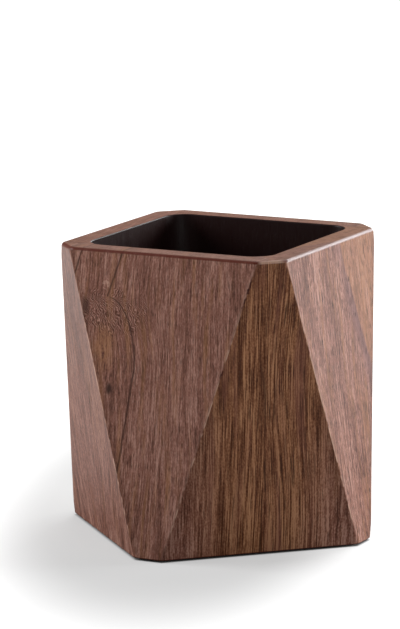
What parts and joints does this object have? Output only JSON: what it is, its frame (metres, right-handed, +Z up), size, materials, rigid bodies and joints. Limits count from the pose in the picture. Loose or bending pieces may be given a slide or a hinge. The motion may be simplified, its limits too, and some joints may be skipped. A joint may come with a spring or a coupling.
{
  "type": "pen stand",
  "caption": "Faceted walnut pen stand: mitred wall boards cut to slanting flat sides, a square mouth with rounded corners, a dark bore, a glued-in floor and anti-slip pads.",
  "frame": {"origin": "on the table under the middle of the stand", "axes": "+Z up, -Y out of the front wall, +X out of the right wall"},
  "size_m": [0.1164, 0.1164, 0.109],
  "materials": {
    "walnut": "oiled walnut, satin, grain upright; the bore is stained nearly black",
    "stained_walnut": "walnut stained nearly black, satin",
    "birch_plywood": "bare plywood, sawn and glued in",
    "pad_rubber": "matt black anti-slip rubber"
  },
  "bodies": {
    "root": {"front_wall": "walnut", "right_wall": "walnut", "back_wall": "walnut", "left_wall": "walnut", "floor_disc": "stained_walnut", "front_right_tongue": "birch_plywood", "back_right_tongue": "birch_plywood", "back_left_tongue": "birch_plywood", "front_left_tongue": "birch_plywood", "front_pad": "pad_rubber", "right_pad": "pad_rubber", "back_pad": "pad_rubber", "left_pad": "pad_rubber"}
  },
  "joints": []
}
